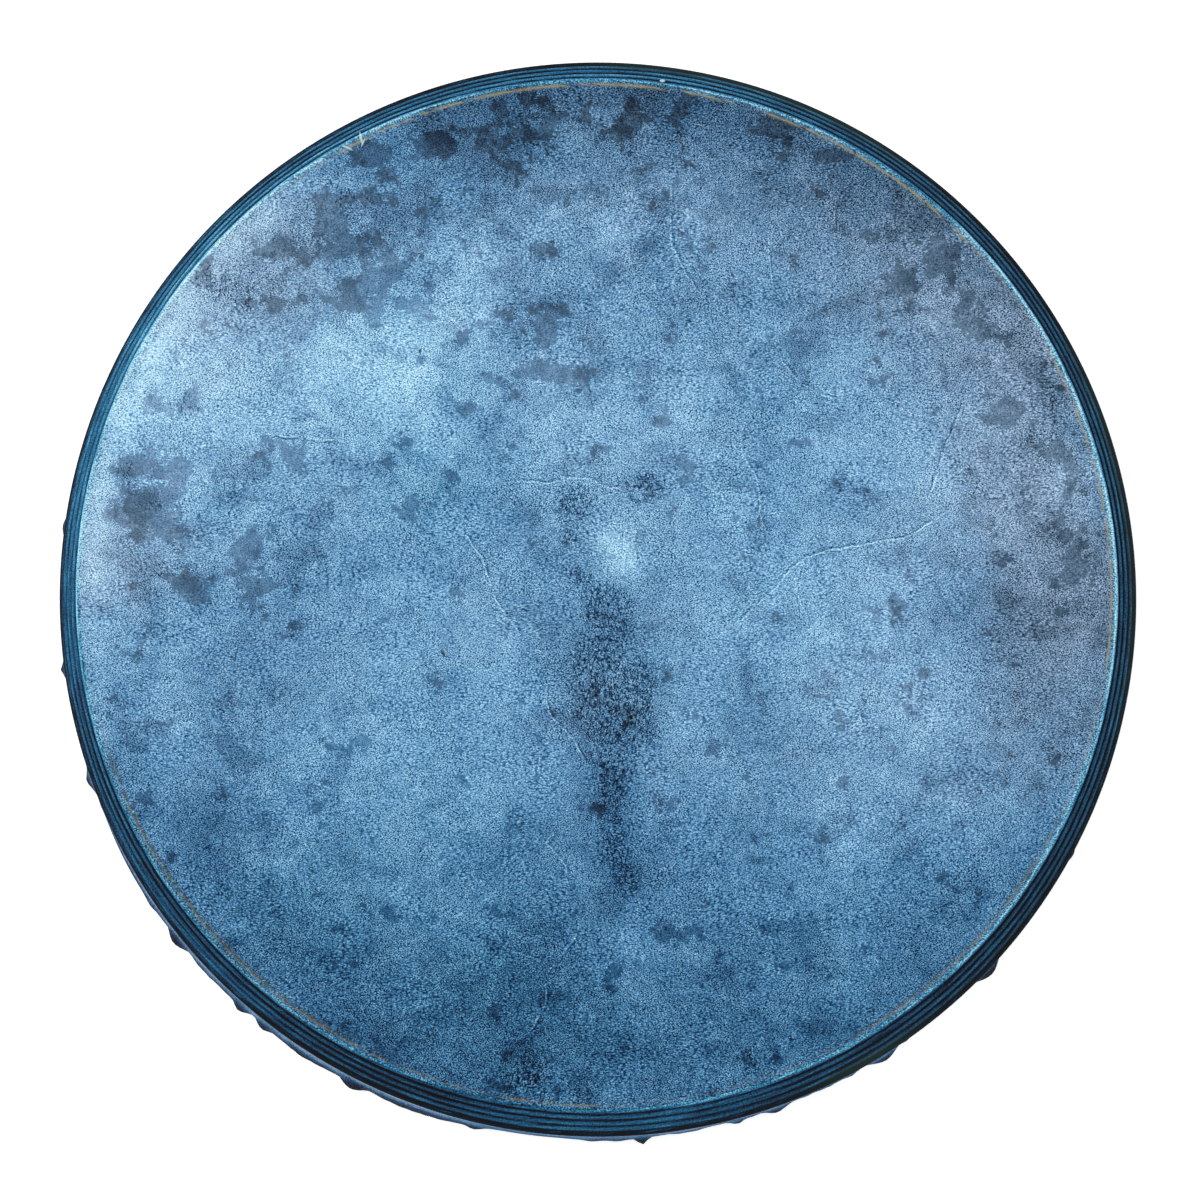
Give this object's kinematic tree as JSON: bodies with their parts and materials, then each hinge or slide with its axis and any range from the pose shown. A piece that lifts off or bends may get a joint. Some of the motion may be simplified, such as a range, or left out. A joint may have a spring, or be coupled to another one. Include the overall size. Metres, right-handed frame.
{
  "type": "shaman drum",
  "caption": "Round single-headed frame drum: dyed rawhide over a bent ply hoop, laced behind to a steel ring with a leather-wrapped cross grip.",
  "frame": {"origin": "on the table, under the middle of the head", "axes": "+Z out of the head along the drum's axis, +Y towards the top of the drum as it is held and seen from the head"},
  "size_m": [0.5063, 0.5039, 0.07],
  "materials": {
    "dyed_rawhide": "matte blue-dyed rawhide, mottled, with a fine pore grain",
    "hoop_wood": "sanded and oiled ash ply",
    "lace_rawhide": "dyed rawhide lace",
    "grip_leather": "dark brown wrapped leather",
    "ring_steel": "brushed"
  },
  "bodies": {
    "root": {"drum_hide": "dyed_rawhide", "hoop_ply_1": "hoop_wood", "hoop_ply_2": "hoop_wood", "hoop_ply_3": "hoop_wood", "hoop_ply_4": "hoop_wood", "hoop_ply_5": "hoop_wood", "lace_01": "lace_rawhide", "lace_02": "lace_rawhide", "lace_03": "lace_rawhide", "lace_04": "lace_rawhide", "lace_05": "lace_rawhide", "lace_06": "lace_rawhide", "lace_07": "lace_rawhide", "lace_08": "lace_rawhide", "lace_09": "lace_rawhide", "lace_10": "lace_rawhide", "lace_11": "lace_rawhide", "lace_12": "lace_rawhide", "lace_13": "lace_rawhide", "lace_14": "lace_rawhide", "lace_15": "lace_rawhide", "lace_16": "lace_rawhide", "lace_17": "lace_rawhide", "lace_18": "lace_rawhide", "lace_19": "lace_rawhide", "lace_20": "lace_rawhide", "lace_21": "lace_rawhide", "lace_22": "lace_rawhide", "lace_23": "lace_rawhide", "lace_24": "lace_rawhide", "lace_bundle_1": "lace_rawhide", "lace_bundle_2": "lace_rawhide", "lace_bundle_3": "lace_rawhide", "lace_bundle_4": "lace_rawhide", "grip_wrap_1": "grip_leather", "grip_wrap_2": "grip_leather", "grip_wrap_3": "grip_leather", "grip_wrap_4": "grip_leather", "centre_ring": "ring_steel"}
  },
  "joints": []
}
